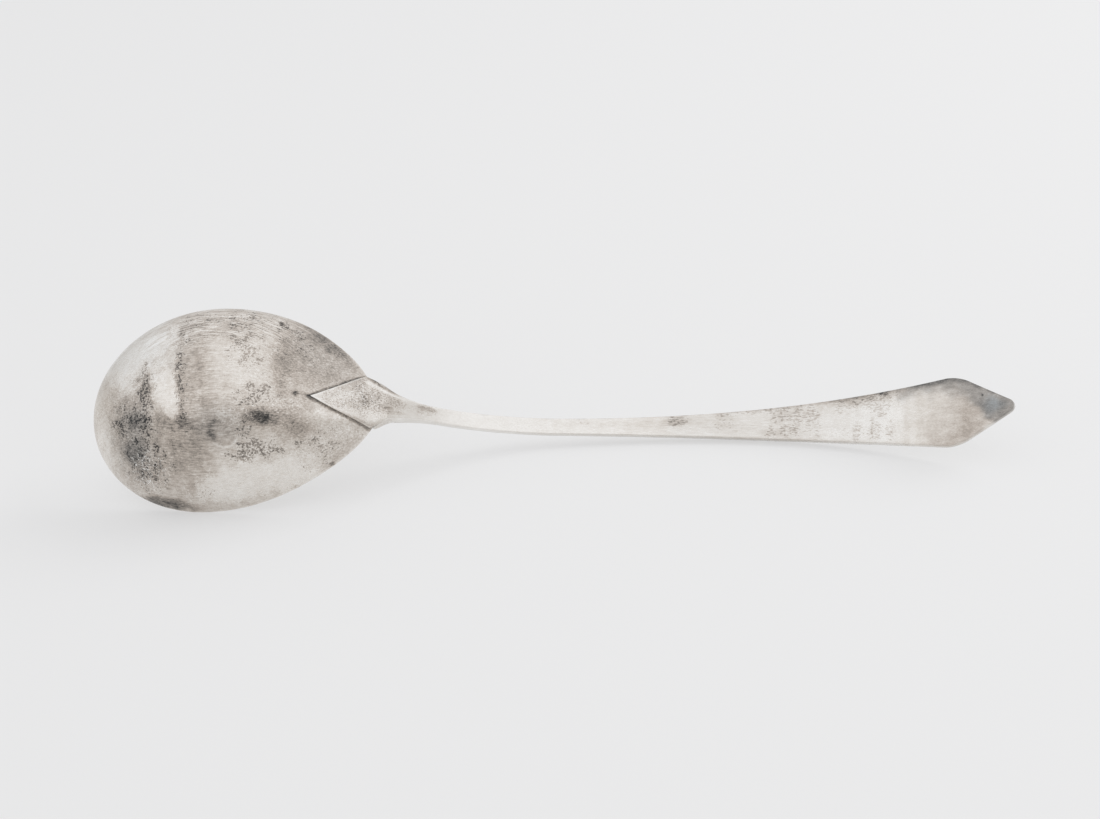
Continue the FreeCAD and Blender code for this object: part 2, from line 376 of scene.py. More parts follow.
bowlWorn = {
    "lightPatch": (41.8, 2.7, 9.1, 5.6, -56, 0.6, 0.80),
    "lightPatchLow": (46.3, -3.7, 4.2, 3.0, -79, 0.5, 0.70),
    "creamRight": (76.3, 11.5, 10.5, 5.9, -69, 0.8, 0.38),
    "crescent": (11.2, -11.8, 11.4, 5.2, 81, 0.7, 0.60),
    "shoulder": (21.9, 20.3, 17.1, 12.6, -5, 0.6, 1.00),
    "topBand": (58.4, 25.1, 21.4, 4.7, 0, 0.8, 0.30),
    "lowRight": (70.9, -28.7, 20.8, 4.6, 12, 0.5, 1.00),
    "lowRightEnd": (88.4, -22.0, 9.0, 3.7, 34, 0.7, 0.50),
    "rightLight": (101.9, -7.9, 5.8, 4.1, -41, 0.8, 0.50),
    "dentSide": (72.0, -8.1, 7.7, 3.3, 2, 0.8, 0.35),
    "underPit": (87.4, -2.7, 6.2, 2.3, 6, 0.7, 0.45),
    "lipLight": (23.0, 4.7, 6.8, 4.7, -47, 0.7, 0.35),
}
bowlSpeckle = {
    "border": (48.4, 6.2, 19.4, 2.4, -76, 0.9, 1.00),
    "lipDense": (32.6, 3.5, 11.8, 4.4, -80, 0.8, 0.98),
    "lipMid": (27.9, -9.0, 10.4, 6.3, -17, 0.9, 0.72),
    "lowLip": (33.4, -23.9, 10.6, 7.9, 2, 0.9, 0.85),
    "lipEdge": (19.0, -4.0, 4.0, 16.0, 0, 0.8, 0.45),
    "creamSpeck": (73.0, 15.2, 9.9, 5.4, -42, 0.8, 0.90),
    "band": (77.2, -19.3, 9.4, 3.2, 15, 0.6, 1.00),
    "nearDent": (74.5, -12.5, 6.1, 3.4, 78, 0.7, 0.80),
    "underCream": (79.4, -0.4, 8.6, 4.6, 3, 0.8, 0.85),
    "upperRight": (90.1, 18.1, 11.6, 4.8, -41, 0.9, 0.55),
    "heelLow": (97.0, -15.8, 9.1, 4.8, 49, 0.9, 0.75),
    "lowEdge": (52.8, -33.4, 8.7, 2.6, 12, 0.8, 0.60),
    "topDots": (62.2, 29.8, 24.0, 6.9, -3, 0.9, 0.75),
}
bowlScratch = {
    "curlA": (32.6, -25.3, 9.0, 5.3, 11, 0.6, 1.0),
    "curlB": (29.3, -20.4, 4.5, 3.6, 13, 0.6, 0.8),
}
bowlCool = {
    "lipGrey": (26.0, -12.0, 12.0, 14.0, 0, 0.7, 0.20),
    "spotA": (28.7, -8.1, 6.0, 4.0, -9, 0.7, 0.25),
    "spotB": (27.8, -17.8, 6.0, 4.5, 0, 0.7, 0.25),
    "upperRight": (97.0, 17.0, 14.6, 7.8, -48, 0.6, 0.12),
    "dent": (65.0, -11.0, 9.0, 6.0, 0, 0.8, 0.25),
    "edges": (20.0, 20.0, 24.0, 14.0, 0, 0.8, 0.25),
}
# the dent's crease: painted shade on its lip side and a painted highlight towards the rim
dentShading = {
    "at": (66.5, -13.6),
    "size": (5.4, 4.8),
    "turn": -12,
    "dark": 0.20,
    "darkAt": 0.88,
    "darkWide": (0.34, 0.14),
    "darkFacing": (0.15, 0.75),
    "light": 0.24,
    "lightAt": 1.02,
    "lightWide": 0.07,
    "lightFacing": (0.25, 0.9),
    "lightTurn": 0.35,
}


def dentShadingLine(x, y):
    # the dent's crease, an open ring: painted shade, soft inwards on the lip side,
    # and a painted highlight towards the rim below
    mark = dentShading
    u, v = ellipseAxes(x, y, mark["at"], mark["size"], mark["turn"])
    reach = np.sqrt(u * u + v * v)
    towards = np.arctan2(v, u)
    wide = np.where(reach < mark["darkAt"], *mark["darkWide"])
    dark = np.exp(-((reach - mark["darkAt"]) / wide) ** 2)
    dark = dark * smooth(*mark["darkFacing"], -np.cos(towards))
    light = np.exp(-((reach - mark["lightAt"]) / mark["lightWide"]) ** 2)
    light = light * smooth(*mark["lightFacing"], -np.sin(towards - mark["lightTurn"]))
    return mark["dark"] * dark - mark["light"] * light


def dropShift(x):
    # the drop leans a little: its middle line moves across towards its point
    u = bowl["length"] - handle["dropCorner"] - x
    return handle["dropShear"] * np.clip(u / (handle["dropLength"] - handle["dropCorner"]), 0, 1)


def seamDistance(x, y):
    # millimetres outward from the drop's straight sides, in plan
    u = x - bowl["length"] + handle["dropLength"]
    slant = math.atan2(handle["dropHalf"], handle["dropLength"] - handle["dropCorner"])
    return np.abs(y - dropShift(x)) * math.cos(slant) - u * math.sin(slant)


# Tones that lie under the painted places, and a painted highlight along the rim;
# bowlRings says where the brushing runs round the bowl

bowlTone = {
    "even": 0.30,
    "rimHighlight": 0.16,
    "rimHighlightTo": (0.4, 1.3),
    "streakLow": 0.8,
    "streakRise": 0.2,
    "streakFrom": (-30, -10),
    "seamReach": 5,
}
bowlRings = {"least": 0.2, "from": (15, 24), "waver": (2, 16, 8), "fade": 0.6, "fadeFrom": (76, 90)}
innerTone = {"even": 0.22, "ripples": ((0.05, 24, 11), (0.03, 9, 12))}

shaped = pushed(bowlPoints)
top = shaped[0].mean(0)
bottom = shaped[-1].mean(0)
planX, planY = bowlPoints[..., 0], bowlPoints[..., 1]
inside = (np.arange(len(planX)) > outerCount + bowl["rimRows"] // 2)[:, None]
# painted highlight: the silver is lighter along the rim's edge, fading out from 0.4 to 1.3 mm above it
rimHighlight = 1 - smooth(*bowlTone["rimHighlightTo"], bowlPoints[..., 2])
darkened = bowlTone["even"] + patches(planX, planY, bowlTarnishAndShade, ragged=0.1) + dentShadingLine(planX, planY)
wavering = rippled(planY, planX, planY, [bowlRings["waver"]])
rings = bowlRings["least"] + (1 - bowlRings["least"]) * smooth(*bowlRings["from"], wavering)
bowlMasks = {
    "tarnishshading": np.clip(darkened - bowlTone["rimHighlight"] * rimHighlight, 0, 1),
    "worn": painted(planX, planY, bowlWorn, ragged=0.15, most=1.2),
    "speckle": painted(planX, planY, bowlSpeckle, ragged=0.30, even=0.12, most=1.1),
    "scratch": painted(planX, planY, bowlScratch, ragged=0.15),
    "streak": bowlTone["streakLow"] + bowlTone["streakRise"] * smooth(*bowlTone["streakFrom"], planY),
    "rings": rings * (1 - bowlRings["fade"] * smooth(*bowlRings["fadeFrom"], planX)),
    "cool": painted(planX, planY, bowlCool, ragged=0.10),
    "seam": np.clip(seamDistance(planX, planY), -bowlTone["seamReach"], bowlTone["seamReach"]),
}
innerMasks = {
    "tarnishshading": rippled(innerTone["even"], planX, planY, innerTone["ripples"]),
    "worn": 0.25,
    "speckle": 0.3,
    "scratch": 0,
    "streak": 0.5,
    "rings": 1,
    "cool": 0.1,
    "seam": bowlTone["seamReach"],
}
bowlMasks = {key: np.where(inside, innerMasks[key], value) for key, value in bowlMasks.items()}
bowlMasks["ring"] = ringOf()
bowlPiece = meshFromGrid(
    "bowl_shell", placed(shaped), planOf(shaped), bowlMasks,
    placed(top), placed(bottom),
)
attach(bowlPiece, "root")
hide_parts("bowl")
print("bowl made", len(bowlPiece.data.polygons), "faces")


# Handle: a forged strap whose root is a pointed drop lying on the bowl's back

def arcHeight(x, first, second, radius):
    # a circle of the given radius through two points, bulging outwards; negative bulges inwards
    a, b = np.array(first, float), np.array(second, float)
    middle, half = (a + b) / 2, np.linalg.norm(b - a) / 2
    across = np.array([a[1] - b[1], b[0] - a[0]]) / (2 * half)
    side = math.copysign(1, radius)
    centre = middle - side * across * math.sqrt(radius ** 2 - half ** 2)
    return centre[1] + side * np.sqrt(np.clip(radius ** 2 - (x - centre[0]) ** 2, 0, None))


def halfAt(x):
    # half width of the handle seen square to its back, x counted from the lip
    u = x - bowl["length"]
    drop, corner = -handle["dropLength"], (-handle["dropCorner"], handle["dropHalf"])
    shoulder, stem, flare = handle["shoulder"], handle["stem"], handle["flare"]
    neckBend = ((stem[0] - shoulder[0]) ** 2 + (shoulder[1] - stem[2]) ** 2) / (2 * (shoulder[1] - stem[2]))
    flareBend = ((flare[0] - stem[1]) ** 2 + (flare[1] - stem[2]) ** 2) / (2 * (flare[1] - stem[2]))
    end, foot, tipRound = handle["endShoulder"], handle["pointFoot"], handle["pointRound"]
    beyond = u - handle["reach"] + tipRound
    return np.select(
        [u < corner[0], u < shoulder[0], u < stem[0], u < stem[1], u < flare[0], u < end[0], u < foot[0]],
        [
            np.clip((u - drop) / (corner[0] - drop), 0, 1) * corner[1],
            corner[1] + (u - corner[0]) / (shoulder[0] - corner[0]) * (shoulder[1] - corner[1]),
            arcHeight(u, shoulder, (stem[0], stem[2]), -neckBend),
            stem[2] + 0 * u,
            arcHeight(u, (stem[1], stem[2]), flare, -flareBend),
            arcHeight(u, flare, end, handle["shoulderRound"]),
            end[1] + (u - end[0]) / (foot[0] - end[0]) * (foot[1] - end[1]),
        ],
        np.sqrt(np.clip(tipRound ** 2 - beyond ** 2, 0, None)),
    )


def domeX(z, y, grow):
    # the heel side of one of the bowl's levels, solved for X at a height and a distance across
    lip, heel, widest, half, blunt, height = bowlLevel(levelAt(z, grow), grow)
    share = np.clip(np.abs(y) / np.maximum(half, 1e-6), 0, 1) ** (1 / blunt)
    return widest + np.sqrt(1 - share) * (heel - widest)


def rootX(z, y, outer):
    # the root: the drop's own thickness on the keel, growing to the neck's, and from round to straight
    heel, rise, fall = bowl["length"], handle["rootRise"], handle["rootFall"]
    slope = math.radians(handle["slopes"][0])
    keel = keelAngle()
    neck = handle["thick"][0] / math.sin(slope)
    sag = handle["rootRound"] - np.sqrt(np.clip(handle["rootRound"] ** 2 - y ** 2, 1, None))
    topX = heel - rise / math.tan(keel) + (handle["dropThick"] / math.sin(keel) if outer else -rise)
    heelX = heel + (neck if outer else 0)
    footX = heel + fall / math.tan(slope) + (neck if outer else 0)
    upper = heelX + (topX - heelX) * z / rise - sag
    lower = heelX + (footX - heelX) * -z / fall - sag * (1 + z / fall)
    return np.where(z > 0, upper, lower)


def backX(z, y):
    # the drop's face and the root melt together: a soft maximum over about a millimetre
    dome = domeX(np.clip(z, 0, None), y, handle["dropThick"])
    root = rootX(z, y, True)
    soft = handle["rootSoft"]
    return np.where(z > 0, soft * np.logaddexp(dome / soft, root / soft), root)


def frontX(z, y):
    dome = domeX(np.clip(z, 0, None), y, handle["seat"])
    return np.where(z > 0, dome, rootX(z, y, False))


def halfOn(surface, z):
    # where a level line of the surface meets the plan outline: bisection on the distance across
    halvings, margin = 40, 0.5
    low, high = np.zeros_like(z), np.full_like(z, handle["dropHalf"] + margin)
    for _ in range(halvings):
        middle = (low + high) / 2
        within = halfAt(surface(z, middle)) > middle
        low, high = np.where(within, middle, low), np.where(within, high, middle)
    return low


def handleLoop():
    # one section as steps across (-1 to 1, corners apart) and through (0 front, 1 back), edges rounded
    corner = np.linspace(0, math.pi / 2, handle["cornerSteps"] + 1)
    backFlat = np.linspace(-1, 1, handle["acrossBack"] + 1)
    frontFlat = np.linspace(1, -1, handle["acrossFront"] + 1)
    flat = [backFlat, np.ones(len(corner) - 1), np.ones(len(corner)), frontFlat[1:],
            -np.ones(len(corner) - 1), -np.ones(len(corner))]
    out = [0 * backFlat, np.sin(corner[1:]), np.cos(corner), 0 * frontFlat[1:],
           -np.sin(corner[1:]), -np.cos(corner)]
    deep = [0 * backFlat, 1 - np.cos(corner[1:]), 1 - np.sin(corner), 0 * frontFlat[1:],
            1 - np.cos(corner[1:]), 1 - np.sin(corner)]
    onBack = [np.ones_like(backFlat), np.ones(len(corner) - 1), np.zeros(len(corner)), 0 * frontFlat[1:],
              np.zeros(len(corner) - 1), np.ones(len(corner))]
    loop = [np.concatenate(part) for part in (flat, out, deep, onBack)]
    return [part[:-1] for part in loop]


def slimmed(points):
    # just past the drop the neck's near side is a little slimmer: a bell along X scales Y there
    slim = handle["nearSlim"]
    x, y = points[..., 0] - bowl["length"], points[..., 1]
    bell = np.exp(-((x - slim["at"]) / slim["reach"]) ** 2)
    result = points.copy()
    result[..., 1] = y * (1 - slim["share"] * bell * (y < 0))
    return result


def sectionLoops(halfBack, halfFront, thick):
    # each slice's points: distance across, and share through from front to back, with rounded edges
    flat, out, deep, onBack = handleLoop()
    rounding = np.minimum(handle["edgeRound"], handle["edgeShare"] * np.minimum(halfBack, halfFront))
    through = onBack[None] + (1 - 2 * onBack[None]) * deep[None] * (rounding / thick)[:, None]
    half = halfFront[:, None] + (halfBack - halfFront)[:, None] * through
    across = flat[None] * (half - rounding[:, None]) + out[None] * rounding[:, None]
    return across, through


def rootSlices():
    # level slices from the drop's tip down to the root's foot
    heel, fall = bowl["length"], handle["rootFall"]
    slope = math.radians(handle["slopes"][0])
    tipX = heel - handle["dropLength"] + handle["tipInset"]
    heights = np.linspace(0, bowl["depth"] + handle["dropThick"], handle["tipSamples"])
    tipBack, tipFront = [
        np.interp(-tipX, -domeX(heights, 0 * heights, grow), heights)
        for grow in (handle["dropThick"], handle["seat"])
    ]
    ease = np.linspace(0, 1, handle["dropRows"]) ** handle["dropCrowd"]
    below = np.linspace(0, -fall, handle["rootRows"] + 1)[1:]
    zBack = np.concatenate([tipBack * (1 - ease), below])
    zFront = np.concatenate([tipFront * (1 - ease), below])
    zFront = zFront - handle["thick"][0] * math.cos(slope) * smooth(0, fall, -zFront)
    zFrontLine = np.maximum(zFront, -fall)
    halfBack, halfFront = halfOn(backX, zBack), halfOn(frontX, zFrontLine)
    beyond = (zFrontLine - zFront) / math.tan(slope)
    halfFront = np.where(beyond > 0, halfAt(frontX(zFrontLine, 0 * zFront) + beyond), halfFront)
    thick = np.interp(zBack, [0, handle["rootRise"]], [handle["thick"][0], handle["dropThick"]])
    y, through = sectionLoops(halfBack, halfFront, thick)
    zBack, zFront = zBack[:, None] + 0 * y, zFront[:, None] + 0 * y
    back = np.stack([backX(zBack, y), y, zBack], -1)
    front = np.stack([frontX(zFrontLine[:, None] + 0 * y, y) + beyond[:, None], y, zFront], -1)
    points = front + (back - front) * through[..., None]
    points[..., 1] += dropShift(points[..., 0])
    return points, through


def strapSlices():
    # slices square to the strap along its three bends, upright and close together at the very end
    slopes = [math.radians(angle) for angle in handle["slopes"]]
    thicks = handle["thick"]
    x0 = bowl["length"] + handle["rootFall"] / math.tan(slopes[0]) + thicks[0] / math.sin(slopes[0])
    z0 = -handle["rootFall"]
    endX = bowl["length"] + handle["reach"]
    stations = []
    for i, radius in enumerate(handle["bends"]):
        steps = np.linspace(0, 1, handle["arcRows"][i] + 1)[1:]
        if i < 2:
            end = slopes[i + 1]
            upright = 0 * steps
        else:
            end = math.asin(math.sin(slopes[2]) - (endX - x0) / radius)
            nearEnd = (handle["reach"] - handle["flare"][0] + handle["endMargin"]) / (endX - x0)
            crowded = np.linspace(1, 1e-3, handle["endRows"]) ** handle["endCrowd"]
            steps = np.append(steps[steps < 1 - nearEnd], 1 - nearEnd * crowded)
            upright = smooth(*handle["uprightFrom"], steps)
        angle = slopes[i] + (end - slopes[i]) * steps
        x = x0 + radius * (math.sin(slopes[i]) - np.sin(angle))
        z = z0 + radius * (math.cos(slopes[i]) - np.cos(angle))
        thick = thicks[i] + (thicks[i + 1] - thicks[i]) * steps
        stations.append(np.stack([x, z, angle, thick, upright]))
        x0, z0 = x[-1], z[-1]
    x, z, angle, thick, upright = np.concatenate(stations, 1)
    frontX0 = x - thick * np.sin(angle) * (1 - upright)
    frontZ0 = z - thick * (np.cos(angle) * (1 - upright) + upright / np.cos(angle))
    y, through = sectionLoops(halfAt(x), halfAt(frontX0), thick)
    back = np.stack([x[:, None] + 0 * y, y, z[:, None] + 0 * y], -1)
    front = np.stack([frontX0[:, None] + 0 * y, y, frontZ0[:, None] + 0 * y], -1)
    return front + (back - front) * through[..., None], through


def handleGrid():
    upper, upperThrough = rootSlices()
    lower, lowerThrough = strapSlices()
    return slimmed(np.concatenate([upper, lower])), np.concatenate([upperThrough, lowerThrough])


# Wear on the strap, with painted shade and highlights in some patches: along it in millimetres from the
# heel, across it as a share of the half width

handleTarnishShadeAndHighlight = {
    "drop": (-5.0, 0.0, 12.0, 1.2, 0, 0.5, 0.14),
    "dropA": (-6.8, 0.72, 4.2, 0.28, 0, 0.5, 0.20),
    "dropB": (-2.4, 0.05, 1.2, 0.32, 0, 0.7, 0.24),
    "dropC": (-11.0, 0.35, 1.6, 0.25, 0, 0.6, 0.18),
    "dropD": (-6.0, -0.25, 2.0, 0.16, 0, 0.6, 0.14),
    "dropSide": (-7.0, -1.0, 9.0, 0.16, 0, 0.6, 0.30),
    # painted shade that dims the highlight on the lump where the drop bends into the neck
    "dropLumpShade": (2.8, -0.62, 1.7, 0.42, 0, 0.8, 0.20),
    "neckDark": (3.5, 0.25, 5.5, 0.55, 0, 0.7, 0.12),
    "dashA": (5.8, -0.52, 2.4, 0.13, 0, 0.5, 0.34),
    "dashB": (4.2, -0.25, 1.3, 0.10, 0, 0.5, 0.30),
    # painted highlight: a light line along the strap's upper edge beside the far wall
    "edgeHighlight": (1.5, 0.78, 5.5, 0.07, 0, 0.6, -0.20),
    # painted shade on the root's far wall, which faces away from the light, over its tarnish
    "farWallShade": (1.0, 1.05, 5.0, 0.18, 0, 0.4, 0.46),
    "neckPatch": (13.0, 0.5, 2.0, 0.30, 0, 0.4, 0.26),
    "stemStreaks": (72.0, 0.3, 22.0, 0.45, 0, 0.8, 0.07),
    "edgeA": (96.0, 0.5, 5.0, 0.5, 0, 0.6, 0.18),
    "middleA": (114.0, 0.3, 4.0, 0.6, 0, 0.6, 0.09),
    "middleB": (136.5, 0.35, 7.0, 0.55, 0, 0.6, 0.11),
    "lowerB": (136.0, -0.6, 8.0, 0.25, 0, 0.6, 0.09),
    "edgeB": (165.0, 0.9, 15.0, 0.25, 0, 0.7, 0.26),
    "edgeC": (150.0, 1.0, 60.0, 0.12, 0, 0.7, 0.20),
    # painted reflection of the floor's shade: darker along the strap's lower edge
    "lowEdge": (110.0, -1.0, 80.0, 0.10, 0, 0.8, 0.14),
    "flare": (125.0, 0.0, 40.0, 1.5, 0, 0.6, 0.11),
    "end": (200.0, 0.0, 18.0, 1.4, 0, 0.6, 0.24),
    "mauve": (206.5, -0.3, 7.0, 0.55, 0, 0.9, 0.16),
    "mauveLow": (202.0, -0.80, 14.0, 0.20, 0, 0.8, 0.12),
    "tip": (218.5, 0.0, 3.5, 1.4, 0, 0.6, 0.16),
    "spot": (209.0, 0.62, 0.5, 0.05, 0, 0.4, 0.35),
}
handleWorn = {
    "dropMottle": (-11.0, 0.25, 3.6, 0.40, 0, 0.7, 0.90),
    "neckLow": (5.5, -0.6, 5.0, 0.45, 0, 0.6, 0.80),
    "stem": (33.0, 0.0, 17.0, 1.2, 0, 0.4, 0.90),
    "flareWhite": (172.0, 0.0, 8.0, 0.55, 0, 0.6, 0.80),
    "flareLow": (155.0, -0.2, 8.0, 0.5, 0, 0.6, 0.50),
}
handleSpeckle = {
    "drop": (-7.0, 0.1, 9.5, 0.9, 0, 0.7, 1.00),
    "neck": (5.0, 0.2, 7.5, 0.7, 0, 0.9, 0.92),
    "neckPatch": (13.0, 0.3, 3.5, 0.6, 0, 0.5, 0.90),
    "stem": (62.0, 0.4, 10.0, 0.5, 0, 0.8, 0.50),
    "edgeA": (96.3, 0.45, 5.5, 0.5, 0, 0.6, 1.00),
    "middleA": (114.0, 0.2, 4.5, 0.8, 0, 0.6, 0.65),
    "edgeLine": (125.0, 0.85, 14.0, 0.2, 0, 0.6, 0.80),
    "middleB": (137.0, 0.35, 8.5, 0.6, 0, 0.8, 0.86),
    "lowerB": (135.0, -0.6, 8.5, 0.35, 0, 0.8, 0.80),
    "pits": (145.0, 0.0, 5.0, 0.8, 0, 0.8, 0.45),
    "edgeB": (168.0, 0.7, 12.0, 0.4, 0, 0.6, 0.80),
    "white": (172.0, -0.2, 10.0, 0.8, 0, 0.7, 0.60),
    "lower": (160.0, -0.6, 14.0, 0.4, 0, 0.7, 0.55),
}
handleScratch = {"drop": (-7.0, 0.0, 9.0, 0.9, 0, 0.6, 1.00)}
blueSpots = {"core": (213.5, 0.15, 4.0, 0.5, 0, 0.7, 1)}
blueEdge = {
    "along": (168, 178, 190, 199, 205, 210, 214),
    "across": (1.1, 0.72, 0.60, 0.50, 0.20, -0.35, -1.3),
    "soft": (-0.22, 0.42),
    "coarse": (0.10, 9, 2),
    "fine": (0.05, 3, 6),
    "fineStretch": 0.5,
    "widen": 12,
}
scratchMark = {"at": 168.8, "lean": 0.5, "wide": 0.36, "reach": (-0.75, 0.1), "fade": 0.2}

# Even tones, the share of each shade in them, and where the shades begin and end

handleTone = {
    "even": 0.07,
    "evenCool": 0.03,
    "tarnishshading": {"blueing": 0.24, "core": -0.08, "outline": 0.09, "dropEdgeHighlight": -0.16, "crease": 0.32},
    "cool": {"flare": 0.07, "blueing": 0.50, "core": 0.45},
    "streak": 0.8,
    "calmEnd": 0.4,
    "calmBlue": 0.5,
    "calmFrom": (178, 192),
    "dropEdgeHighlightWide": (0.3, 0.8),
    "dropEdgeHighlightUntil": (-4, -2),
    "outlineFrom": (0.80, 1.0),
    "flareFrom": (85, 100),
    "flareUntil": (168, 190),
    "seam": 5,
    "leastHalf": 0.4,
    "facingFrom": (0.0, 0.3),
}

handlePoints, backMask = handleGrid()
alongHandle = handlePoints[..., 0] - bowl["length"]
middleLine = dropShift(handlePoints[..., 0])
halfHandle = halfAt(handlePoints[..., 0])
acrossHandle = (handlePoints[..., 1] - middleLine) / np.maximum(halfHandle, handleTone["leastHalf"])


def shaded(tone, shares):
    # a tone and its share of each shade
    for key, share in shares.items():
        tone = tone + share * shades[key]
    return np.clip(tone, 0, 1)


def creaseLine():
    # one crosswise scratch: a thin bell along the handle that fades at both its ends
    mark = scratchMark
    low, high = mark["reach"]
    line = np.exp(-((alongHandle - mark["at"] - mark["lean"] * acrossHandle) / mark["wide"]) ** 2)
    line = line * smooth(low, low + mark["fade"], acrossHandle)
    return line * (1 - smooth(high - mark["fade"], high, acrossHandle))


blueAt = np.interp(alongHandle, blueEdge["along"], blueEdge["across"])
widened = acrossHandle * blueEdge["widen"]
uneven = rippled(0, alongHandle, widened, [blueEdge["coarse"]])
uneven = rippled(uneven, alongHandle * blueEdge["fineStretch"], widened, [blueEdge["fine"]])
blueing = smooth(*blueEdge["soft"], acrossHandle - blueAt + uneven)
edgeGap = (1 - np.abs(acrossHandle)) * halfHandle
# painted highlight: lighter within 0.3 to 0.8 mm of the strap's edges, used on the drop only
dropEdgeHighlight = 1 - smooth(*handleTone["dropEdgeHighlightWide"], edgeGap)
flareStart = smooth(*handleTone["flareFrom"], alongHandle)
shades = {
    "flare": flareStart * (1 - smooth(*handleTone["flareUntil"], alongHandle)),
    "blueing": blueing,
    "core": patches(alongHandle, acrossHandle, blueSpots, ragged=0.1),
    "outline": blueing * smooth(*handleTone["outlineFrom"], np.abs(acrossHandle)),
    "dropEdgeHighlight": dropEdgeHighlight * (1 - smooth(*handleTone["dropEdgeHighlightUntil"], alongHandle)),
    "crease": creaseLine(),
}
darkened = handleTone["even"] + patches(alongHandle, acrossHandle, handleTarnishShadeAndHighlight, ragged=0.1)
streak = handleTone["streak"] - handleTone["calmEnd"] * smooth(*handleTone["calmFrom"], alongHandle)
handleMasks = {
    "tarnishshading": shaded(darkened, handleTone["tarnishshading"]),
    "speckle": painted(alongHandle, acrossHandle, handleSpeckle, ragged=0.30, even=0.10),
    "streak": streak * (1 - handleTone["calmBlue"] * blueing),
    "rings": 0 * alongHandle,
    "ring": 0 * handlePoints,
    "cool": shaded(handleTone["evenCool"], handleTone["cool"]),
    "worn": painted(alongHandle, acrossHandle, handleWorn, ragged=0.15, most=1.2),
    "scratch": painted(alongHandle, acrossHandle, handleScratch, ragged=0.1),
    "seam": handleTone["seam"] + 0 * alongHandle,
}
frontMasks = {"tarnishshading": 0.14, "worn": 0.3, "speckle": 0.25, "cool": 0.1}
facing = smooth(*handleTone["facingFrom"], backMask)
for key, value in frontMasks.items():
    handleMasks[key] = value + (handleMasks[key] - value) * facing
handlePiece = meshFromGrid(
    "handle_strap", placed(handlePoints), planOf(handlePoints), handleMasks,
    placed(handlePoints[0].mean(0)), placed(handlePoints[-1].mean(0)),
)
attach(handlePiece, "root")
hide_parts("handle")
print("handle made", len(handlePiece.data.polygons), "faces")


# Materials

def add(tree, kind, feeds=None, **settings):
    # a node with its settings; each input is fed by a socket or a plain value
    made = tree.nodes.new(kind)
    for key, value in settings.items():
        setattr(made, key, value)
    for key, value in (feeds or {}).items():
        if isinstance(value, bpy.types.NodeSocket):
            tree.links.new(value, made.inputs[key])
        else:
            made.inputs[key].default_value = value
    return made


def calc(tree, operation, *values):
    return add(tree, "ShaderNodeMath", dict(enumerate(values)), operation=operation).outputs[0]


def noise(tree, place, scale, detail, rough):
    feeds = {"Vector": place, "Scale": scale, "Detail": detail, "Roughness": rough}
    return add(tree, "ShaderNodeTexNoise", feeds).outputs["Fac"]


def step(tree, value, low, high):
    feeds = {"Value": value, "From Min": low, "From Max": high}
    return add(tree, "ShaderNodeMapRange", feeds, interpolation_type="SMOOTHSTEP").outputs["Result"]


def ramp(tree, value, stops):
    made = add(tree, "ShaderNodeValToRGB", {"Fac": value})
    band = made.color_ramp
    while len(band.elements) < len(stops):
        band.elements.new(0.5)
    for element, (place, colour) in zip(band.elements, stops):
        element.position = place
        element.color = (*colour, 1)
    return made.outputs["Color"]


def mixColour(tree, factor, first, second, blend="MIX"):
    feeds = {"Factor": factor, "A": first, "B": second}
    return add(tree, "ShaderNodeMix", feeds, data_type="RGBA", blend_type=blend).outputs["Result"]


# the first amount holds tarnish together with painted shade and painted highlights
paintNames = ("TarnishShading", "Worn", "Speckle", "Scratch", "Streak", "Rings", "Cool", "Seam")

silver = {
    "clean": (0.93, 0.91, 0.875),
    "breath": (0.76, 0.715, 0.66),
    "warm": (0.53, 0.47, 0.415),
    "dull": (0.28, 0.255, 0.23),
    "black": (0.07, 0.068, 0.066),
    "blue": (0.60, 0.69, 0.78, 1),
}

# Noises in the silver: scale per millimetre, detail and roughness

noises = {
    "mottle": (0.16, 4, 0.6),
    "blotch": (0.5, 4, 0.65),
    "grain": (1.6, 3, 0.75),
    "fine": (1.25, 3, 0.7),
    "straight": (2.0, 4, 0.8),
    "around": (1.7, 4, 0.8),
    "curl": (0.75, 2, 0.6),
    "coil": (0.40, 2, 0.5),
}

# How much of each mark goes into the tone, 0 clean to 1 black, and where the marks fade

patinaTone = {
    "middle": 0.5,
    "swing": 5.0,
    "lineSwing": 6.5,
    "drawnOut": (0.12, 1, 1),
    "tornFine": 2.2,
    "tornBlotch": 0.26,
    "tornLines": 0.08,
    "wornFrom": (0.22, 0.72),
    "wornShare": 0.52,
    "leastBody": 0.25,
    "mottle": 0.13,
    "blotch": 0.11,
    "grain": (0.08, 0.02),
    "lines": (0.26, 0.01),
    "rings": 0.15,
    "speckle": 0.26,
    "speckLines": 0.025,
    "speckBlotch": 0.03,
    "spotsFrom": (0.48, 0.57),
    "rimsFrom": (0.40, 0.48),
    "rimsUntil": (0.48, 0.51),
    "rims": -0.11,
    "curlUntil": (0.004, 0.03),
    "curlFrom": (0.55, 1.0),
    "curl": 0.22,
    "wireUntil": (0.004, 0.026),
    "wire": -0.55,
    "shadeFrom": (0.012, 0.026),
    "shadeUntil": (0.030, 0.060),
    "shade": 0.22,
    "nearFrom": (0.3, -0.3),
    "seamBlotch": 0.25,
    # painted shade in the seam beside the drop, and a brown band of tarnish with painted shade
    "seamShadeUntil": (0.7, 1.6),
    "seamShade": 0.42,
    "bandUntil": (0.5, 1.8),
    "band": 0.13,
    "roughness": (0.3, 0.22),
    "spotRelief": -0.6,
    "lineRelief": 0.25,
}


